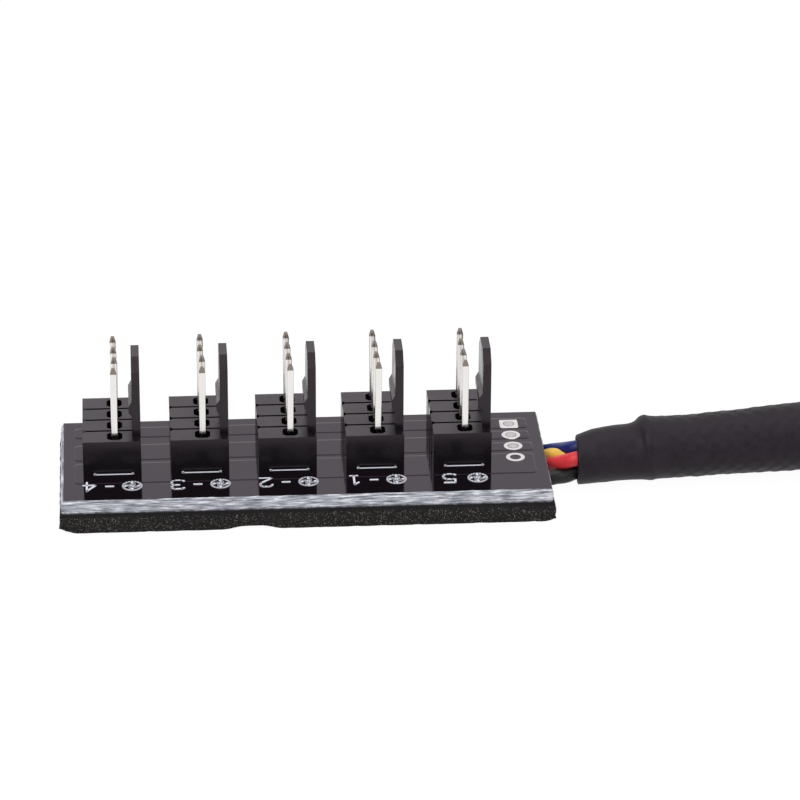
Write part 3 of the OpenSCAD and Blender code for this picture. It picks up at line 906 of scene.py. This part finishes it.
def rounded_box(x0, y0, x1, y1, corner, steps=5):
    """Outline of a rectangle with round corners, counter-clockwise."""
    out = []
    for cx, cy, start in (
        (x1 - corner, y0 + corner, -90), (x1 - corner, y1 - corner, 0),
        (x0 + corner, y1 - corner, 90), (x0 + corner, y0 + corner, 180),
    ):
        for i in range(steps + 1):
            turn = math.radians(start + 90 * i / steps)
            out.append((cx + corner * math.cos(turn), cy + corner * math.sin(turn)))
    return out


# Copper under the mask: three rails along all headers, and two short fields at the middle pads
COPPER_T = 0.045
COPPER_SLOPE = 0.2
COPPER_SUNK = 0.002
RAIL_GROW = 0.1
RAIL_CORNER = 0.5
RAILS = [
    (-22.6, 5.05, 22.55, 7.3), (17.5, 2.6, 22.55, 4.35), (-22.6, -0.08, 18.5, 3.35),
    (17.5, -0.1, 22.7, 1.72), (-22.6, -5.15, 22.6, -0.75),
]
for x0, y0, x1, y1 in RAILS:
    rail = rounded_box(x0 - RAIL_GROW, y0 - RAIL_GROW, x1 + RAIL_GROW, y1 + RAIL_GROW, RAIL_CORNER)
    slab_into(work, rail, BOARD_TOP - COPPER_SUNK, BOARD_TOP + COPPER_T, COPPER_SLOPE)
work.to_mesh(board_mesh)
work.free()

# Epoxy solder mask, cured: black gloss that mirrors the headers, a little wavy
mask, tree, shader = finish_of(
    "gloss solder mask", "#0b070a", roughness=0.07, ior=1.405,
    specular_tint=(1.0, 0.62, 1.0, 1.0),
)
waves = noise_field(tree, 500.0, 2.0)
emboss(shader, 0.1, 0.00002, waves)
set_inputs(shader, {"Roughness": ranged(tree, waves, 0.3, 0.7, 0.05, 0.1)})

# Glass-epoxy laminate, snapped: pale grey resin with white bundles of fibre along the edge,
# and a ragged dark band at its foot, which is painted shade
SHADE_JAG = 0.0006
SHADE_FROM, SHADE_TO = 0.00227, 0.00252
STREAKS = ((0.36, "#5d5f69"), (0.5, "#9fa1ab"), (0.64, "#f1f2fa"))
laminate, tree, shader = finish_of("snapped glass-epoxy laminate", "#b5b7c0", roughness=0.7, ior=1.5)
fibres = noise_field(tree, 3200.0, 5.0, stretched_spot(tree, (0.14, 0.14, 1.9)), Roughness=0.65)
streaks = add(tree, "ShaderNodeValToRGB", {0: fibres})
streaks.color_ramp.elements.new(0.5)
for element, (position, tone) in zip(streaks.color_ramp.elements, STREAKS):
    element.position = position
    element.color = srgb(tone)
jag = math_node(tree, "MULTIPLY", noise_field(tree, 1500.0, 4.0), SHADE_JAG)
# Below a ragged line near the edge's foot the colour turns dark grey: painted shade
above_shade = ranged(tree, math_node(tree, "ADD", object_height(tree), jag), SHADE_FROM, SHADE_TO)
tint(shader, above_shade, "#4b4b52", streaks.outputs[0])
emboss(shader, 0.7, 0.00008, fibres)

board = place_piece("board", board_mesh, mask, laminate, slot="board_mask")
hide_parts("circuit_board")

# Cable pads
# Four plated pads at the board's end: the farthest square, the others round. Three holes are
# full of solder; the nearest is open at the top.
HEADERS = 5
PAD_D = 1.9
SQUARE_PAD_HALF = 0.93
HOLE_D = 1.05
PAD_TOP = BOARD_TOP + 0.05
PAD_SIDES = 40
PAD_BEVEL = 0.03
BARREL_DEPTH = 0.85
DOME_RINGS = 6
# What fills a hole: height of its rim, rise to its middle, and its material's number
FULL_HOLE = (PAD_TOP - 0.012, 0.05, 1)
OPEN_HOLE = (BOARD_TOP - 0.72, -0.25, 2)
whole = bmesh.new()
pad_turns = [2 * math.pi * (i + 0.5) / PAD_SIDES for i in range(PAD_SIDES)]
for number, y in enumerate(PIN_Y):
    verts = []
    for turn in pad_turns:
        c, s = math.cos(turn), math.sin(turn)
        reach = PAD_D / 2
        if number == len(PIN_Y) - 1:
            reach = SQUARE_PAD_HALF / max(abs(c), abs(s))
        hole = HOLE_D / 2
        verts.append([
            whole.verts.new(((PAD_X + c * r) * MM, (y + s * r) * MM, z * MM))
            for r, z in (
                (reach, BOARD_TOP - 0.01), (reach, PAD_TOP - PAD_BEVEL / 2),
                (reach - PAD_BEVEL, PAD_TOP), (hole + PAD_BEVEL, PAD_TOP),
                (hole, PAD_TOP - PAD_BEVEL), (hole, BOARD_TOP - BARREL_DEPTH),
            )
        ])
    for i in range(PAD_SIDES):
        n = (i + 1) % PAD_SIDES
        for k in range(5):
            face = whole.faces.new((verts[i][k], verts[n][k], verts[n][k + 1], verts[i][k + 1]))
            face.smooth = k != 2
    level, rise, filling = FULL_HOLE if number else OPEN_HOLE
    dome = []
    for j in range(DOME_RINGS):
        r = HOLE_D / 2 * (1 - j / DOME_RINGS)
        z = level + rise * math.sin(math.pi / 2 * j / DOME_RINGS)
        dome.append([
            whole.verts.new(((PAD_X + r * math.cos(turn)) * MM, (y + r * math.sin(turn)) * MM, z * MM))
            for turn in pad_turns
        ])
    tip = whole.verts.new((PAD_X * MM, y * MM, (level + rise) * MM))
    cap = [
        whole.faces.new((low[i], low[(i + 1) % PAD_SIDES], high[(i + 1) % PAD_SIDES], high[i]))
        for low, high in zip(dome, dome[1:]) for i in range(PAD_SIDES)
    ]
    cap += [whole.faces.new((dome[-1][i], dome[-1][(i + 1) % PAD_SIDES], tip)) for i in range(PAD_SIDES)]
    for face in cap:
        face.material_index = filling
        face.smooth = True
pads_mesh = mesh_of(whole)

# Levelled solder on the pads: bright and almost white, with a faint ripple
plating, tree, shader = finish_of("levelled solder plating", "#e0dadc", metallic=1.0, roughness=0.3)
emboss(shader, 0.4, 0.00003, noise_field(tree, 2600.0, 2.0))

# Solder, cooled in the joints: duller and grainy
solder, tree, shader = finish_of("cooled tin solder", "#b3aeaa", metallic=1.0, roughness=0.42)
crystals = noise_field(tree, 6000.0, 3.0)
tint(shader, crystals, "#9b9593", "#e6e0e3")
emboss(shader, 0.5, 0.00003, crystals)

# Flux and painted shadow in the hole that the solder didn't fill: dark and dull
flux_and_shade, tree, shader = finish_of("dark flux in an open hole", "#2c3135", roughness=0.6, ior=1.3)
tint(shader, noise_field(tree, 4000.0, 2.0), "#171a1d", "#41474b")
place_piece("cable_pads", pads_mesh, plating, solder, flux_and_shade, slot="solder")
for kind, count in (("cable", len(PIN_Y)), ("header", HEADERS)):
    for number in range(count):
        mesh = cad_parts[f"{kind}_solder_{number + 1}"].data
        mesh.materials.clear()
        mesh.materials.append(solder)

# Legend
# White epoxy ink on the mask, upside down as seen from the front: a bracket before each
# header, and a plain fan sign with the port's number.
LEGEND_W = 0.2
INK_FROM, INK_TO = BOARD_TOP - 0.005, BOARD_TOP + COPPER_T + 0.02
HEADER_X0, HEADER_PITCH = -21.8, 8.6
# The bracket: its two ends from the header's left side, its line, and its short ticks
BRACKET_ENDS = (1.15, 4.82)
BRACKET_Y, TICK_Y, TICK_W = -3.27, -3.12, 0.26
# The port's sign: digit, dash and fan, from the header's left side; the last port's stands apart
DIGIT_SIZE = (1.2, 1.85)
DIGIT_AT, LAST_DIGIT_AT = (0.0, -4.92), (0.75, -5.05)
DASH_FROM, DASH_TO = 2.2, 2.9
FAN_AT, LAST_FAN_AT = 4.75, 4.1
FAN_R = 0.93
FAN_RING_W = 0.15
BLADES = 4
# Strokes of each digit, in a square of side 1
DIGITS = {
    1: [[(0.15, 0.78), (0.5, 1), (0.5, 0)], [(0.2, 0), (0.8, 0)]],
    2: [[
        (0, 0.8), (0.12, 0.95), (0.35, 1), (0.7, 1), (0.92, 0.92), (1, 0.75), (0.9, 0.55), (0, 0), (1, 0),
    ]],
    3: [
        [(0, 0.9), (0.2, 1), (0.78, 1), (1, 0.88), (1, 0.64), (0.8, 0.53), (0.4, 0.53)],
        [(0.8, 0.53), (1, 0.4), (1, 0.13), (0.78, 0), (0.2, 0), (0, 0.1)],
    ],
    4: [[(0.72, 0), (0.72, 1), (0, 0.34), (1, 0.34)]],
    5: [[
        (0.95, 1), (0.08, 1), (0.05, 0.55), (0.3, 0.62), (0.75, 0.6), (1, 0.42), (1, 0.16), (0.75, 0),
        (0.2, 0), (0, 0.1),
    ]],
}
PORTS = [4, 3, 2, 1, 5]


def ink_stroke(whole, start, end, width=LEGEND_W):
    """A straight stroke of ink with round ends."""
    a, b = Vector(start), Vector(end)
    along = (b - a).normalized() if (b - a).length > 1e-6 else Vector((1, 0))
    base = math.atan2(along.y, along.x)
    outline = []
    for middle, first in ((b, -90), (a, 90)):
        for i in range(7):
            turn = base + math.radians(first + 30 * i)
            outline.append((middle.x + width / 2 * math.cos(turn), middle.y + width / 2 * math.sin(turn)))
    slab_into(whole, outline, INK_FROM, INK_TO, 0)


def ink_line(whole, spots, *width):
    """Strokes of ink from each spot to the next."""
    for a, b in zip(spots, spots[1:]):
        ink_stroke(whole, a, b, *width)


def polar(radians, reach):
    """A step of that reach in that direction."""
    return Vector((math.cos(radians), math.sin(radians))) * reach


whole = bmesh.new()
for index, digit in enumerate(PORTS):
    left = HEADER_X0 + index * HEADER_PITCH
    is_last = index == len(PORTS) - 1
    from_x, to_x = (left + reach for reach in BRACKET_ENDS)
    ink_stroke(whole, (from_x, BRACKET_Y), (to_x, BRACKET_Y))
    for x in (from_x, to_x):
        ink_stroke(whole, (x, BRACKET_Y), (x, TICK_Y), TICK_W)
    shift, tall = LAST_DIGIT_AT if is_last else DIGIT_AT
    start = left + shift + DIGIT_SIZE[0]
    for line in DIGITS[digit]:
        ink_line(whole, [(start - DIGIT_SIZE[0] * gx, tall - DIGIT_SIZE[1] * gy) for gx, gy in line])
    middle = Vector((left + (LAST_FAN_AT if is_last else FAN_AT), tall - FAN_R))
    circle = [middle + polar(math.radians(20 * i), FAN_R) for i in range(19)]
    ink_line(whole, circle, FAN_RING_W)
    for blade in range(BLADES):
        turn = math.radians(360 / BLADES * blade + 20)
        spots = [middle + polar(turn + 0.42 * i, 0.16 + 0.17 * i) for i in range(4)]
        for i, (a, b) in enumerate(zip(spots, spots[1:])):
            ink_stroke(whole, a, b, 0.17 + 0.05 * i)
    if not is_last:
        ink_stroke(whole, (left + DASH_FROM, tall - FAN_R), (left + DASH_TO, tall - FAN_R))
legend_mesh = mesh_of(whole)

# Epoxy ink, screen printed: blue-white and half matt, a little blotchy
ink, tree, shader = finish_of("printed white ink", "#eceef8", roughness=0.5, ior=1.5)
tint(shader, noise_field(tree, 4200.0, 2.0), "#d8dbea", "#f8f9ff")
place_piece("board_legend", legend_mesh, ink)

# Foam pad
# Black open-cell foam tape under the board. It was cut by hand, so its side waves and its
# lower edge lifts a little in one place.
FOAM_X, FOAM_Y, FOAM_TOP = 24.05, 8.9, 1.9
FOAM_LEVELS = [0.12, 0.3, 0.6, 0.95, 1.3, 1.6, 1.78]
FOAM_ROUGH = [(0.8, 1.4, 0, 0.07), (3.3, 3.3, 0, 0.045)]
FOAM_BELLY = 0.1
FOAM_ROUND = 0.16
foam_mesh, work = cut_copy(
    "foam_pad", "foam_tape", [x * 0.4 - 24 for x in range(121)],
    [y * 0.5 - 8.75 for y in range(36)], FOAM_LEVELS,
)


def lifted(x):
    """How far the lower front edge stands off the surface at a place along the board."""
    hollow = 0.36 * math.exp(-(((x + 5.4) / 2.1) ** 4))
    left_end = 0.55 * min(max((-22.4 - x) / 1.65, 0), 1) ** 2
    right_end = 0.3 * min(max((x - 22.9) / 1.15, 0), 1) ** 2
    return hollow + left_end + right_end


for vert in work.verts:
    p = vert.co / MM
    low = max(0.0, 1 - p.z / 0.7)
    near_front = max(0.0, 1 - (p.y + FOAM_Y) / 2.5)
    rough = rough_at(p, FOAM_ROUGH)
    step = Vector()
    rim_x = abs(abs(p.x) - FOAM_X) < SIDE_NEAR
    rim_y = abs(abs(p.y) - FOAM_Y) < SIDE_NEAR
    belly = FOAM_BELLY * math.sin(math.pi * min(p.z / FOAM_TOP, 1))
    round_low = FOAM_ROUND * max(0.0, 1 - p.z / 0.3) ** 2
    if rim_x:
        step.x = math.copysign(belly + rough - round_low, p.x)
    if rim_y:
        step.y = math.copysign(belly * 0.6 + rough - round_low, p.y)
    if p.z < 1.7:
        step.z = lifted(p.x) * low * near_front + (abs(rough) * 0.4 if p.z < 0.01 else 0)
    p += step
    vert.co = Vector((p.x, p.y, max(p.z, 0))) * MM
for face in work.faces:
    face.smooth = True
work.to_mesh(foam_mesh)
work.free()

# Polyurethane foam, open cells about 0.25 mm wide: matt black walls with pale worn spots, and
# a band just under the board painted near black without spots, which is painted shade
SHADED_FROM, SHADED_TO = 0.0015, 0.0017
foam_look, tree, shader = finish_of("open-cell polyurethane foam", "#2a2624", roughness=0.95, ior=1.45)
cells = add(tree, "ShaderNodeTexVoronoi", {
    "Vector": object_spot(tree), "Scale": 4200.0, "Randomness": 1.0,
}, feature="DISTANCE_TO_EDGE").outputs["Distance"]
wall = ranged(tree, cells, 0.0, 0.22, 1.0, 0.0)
pale = ranged(tree, noise_field(tree, 7000.0, 3.0, Roughness=0.75), 0.54, 0.66)
fleck = math_node(tree, "MULTIPLY", wall, pale)
# The cells' hollows are painted darker than their walls: painted shade
shade = mixed(tree, fleck, mixed(tree, wall, "#040303", "#1b1615"), "#b5aaa5")
# The top of the foam's side, just under the board, is painted near black: painted shade
under_board_shade = ranged(tree, object_height(tree), SHADED_FROM, SHADED_TO)
tint(shader, under_board_shade, shade, "#0d0b0b")
emboss(shader, 1.0, 0.00015, wall)
foam = place_piece("foam_tape", foam_mesh, foam_look, slot="foam")
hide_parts("foam_pad")

# Headers
# Five 4-pin fan headers side by side, each one black nylon moulding with a lock wall and a
# groove between its circuits.
for header in range(1, HEADERS + 1):
    rounded_copy(
        f"header_housing_{header}", f"header_body_{header}", 0.06, "header_nylon", nylon, nylon_top,
    )

# Header pins
# Twenty square pins of tinned brass wire, cut and pointed at both ends. Pushed into the
# housings by machine, each leans a little its own way. The cut tips show dull brass.
PIN_SIZES = {
    # millimetres, but counts, degrees and a seed where the name says so
    "Headers (count)": HEADERS, "Circuits (count)": len(PIN_Y), "Header pitch": HEADER_PITCH,
    "Circuit pitch": CIRCUIT_PITCH, "Side": 0.64, "Corner": 0.06, "Foot height": 1.0,
    "Tip height": 14.1, "Taper": 0.55, "Tip share of side (ratio)": 0.5, "Seat height": 5.0,
    "Lean (degrees)": 0.7, "Seed (count)": 7,
}
FIRST_PIN = (-18.65, -1.63)
pin_tree = bpy.data.node_groups.new("square pins", "GeometryNodeTree")
pin_tree.interface.new_socket("Geometry", in_out="OUTPUT", socket_type="NodeSocketGeometry")
pin_sockets = {}
for size_name in PIN_SIZES:
    kind = "NodeSocketInt" if "(count)" in size_name else "NodeSocketFloat"
    pin_sockets[size_name] = pin_tree.interface.new_socket(size_name, in_out="INPUT", socket_type=kind)
given = add(pin_tree, "NodeGroupInput").outputs


def grown(kind, inputs=None, **settings):
    """Adds one node to the pins' tree and gives its first socket."""
    return add(pin_tree, kind, inputs, **settings).outputs[0]


def pick(index, *values):
    """Socket of the value that belongs to a point's number."""
    switch = add(pin_tree, "GeometryNodeIndexSwitch", data_type="FLOAT")
    while len(switch.index_switch_items) < len(values):
        switch.index_switch_items.new()
    set_inputs(switch, dict(enumerate((index, *values))))
    return switch.outputs[0]


def less(first, second):
    """Socket of a difference."""
    return math_node(pin_tree, "SUBTRACT", first, second)


def times(first, second):
    """Socket of a product."""
    return math_node(pin_tree, "MULTIPLY", first, second)


foot = less(given["Foot height"], given["Seat height"])
tip = less(given["Tip height"], given["Seat height"])
index = grown("GeometryNodeInputIndex")
low_shoulder = math_node(pin_tree, "ADD", foot, given["Taper"])
level = pick(index, foot, low_shoulder, less(tip, given["Taper"]), tip)
share = given["Tip share of side (ratio)"]
spine = grown("GeometryNodeMeshToCurve", {0: grown("GeometryNodeMeshLine", {"Count": 4})})
rise = grown("ShaderNodeCombineXYZ", {"Z": times(level, MM)})
spine = grown("GeometryNodeSetPosition", {0: spine, "Position": rise})
side = times(given["Side"], MM)
section = grown("GeometryNodeFilletCurve", {
    0: grown("GeometryNodeCurvePrimitiveQuadrilateral", {"Width": side, "Height": side}),
    "Radius": times(given["Corner"], MM), "Count": 3,
}, mode="POLY")
one_pin = grown("GeometryNodeCurveToMesh", {
    "Curve": spine, "Profile Curve": section, "Fill Caps": True,
    "Scale": pick(index, share, 1.0, 1.0, share),
})
grid = grown("GeometryNodeMeshGrid", {
    "Size X": times(times(given["Header pitch"], less(given["Headers (count)"], 1.0)), MM),
    "Size Y": times(times(given["Circuit pitch"], less(given["Circuits (count)"], 1.0)), MM),
    "Vertices X": given["Headers (count)"], "Vertices Y": given["Circuits (count)"],
})
lean = math_node(pin_tree, "RADIANS", given["Lean (degrees)"])
lean_back = times(lean, -1.0)
turn = grown("FunctionNodeRandomValue", {
    "Min": grown("ShaderNodeCombineXYZ", {"X": lean_back, "Y": lean_back}),
    "Max": grown("ShaderNodeCombineXYZ", {"X": lean, "Y": lean}), "Seed": given["Seed (count)"],
}, data_type="FLOAT_VECTOR")
pins = grown("GeometryNodeInstanceOnPoints", {"Points": grid, "Instance": one_pin, "Rotation": turn})
pins = grown("GeometryNodeRealizeInstances", {0: pins})
pins = grown("GeometryNodeSetMaterial", {0: pins, "Material": tin})
add(pin_tree, "NodeGroupOutput", {0: pins})

maker = new_object("pin maker", bpy.data.meshes.new("pin maker"))
grow = maker.modifiers.new("pins", "NODES")
grow.node_group = pin_tree
for size_name, value in PIN_SIZES.items():
    grow[pin_sockets[size_name].identifier] = value
pins_mesh = bpy.data.meshes.new_from_object(maker.evaluated_get(bpy.context.evaluated_depsgraph_get()))
maker.modifiers.remove(grow)
bpy.data.objects.remove(maker)
pins_mesh.transform(Matrix.Translation(Vector((
    FIRST_PIN[0] + 2 * PIN_SIZES["Header pitch"], FIRST_PIN[1] + 1.5 * PIN_SIZES["Circuit pitch"],
    PIN_SIZES["Seat height"],
)) * MM))
pins = place_piece("square_pins", pins_mesh, slot="pin_tin")
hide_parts(*[f"header_pin_{h + 1}_{c + 1}" for h in range(HEADERS) for c in range(len(PIN_Y))])
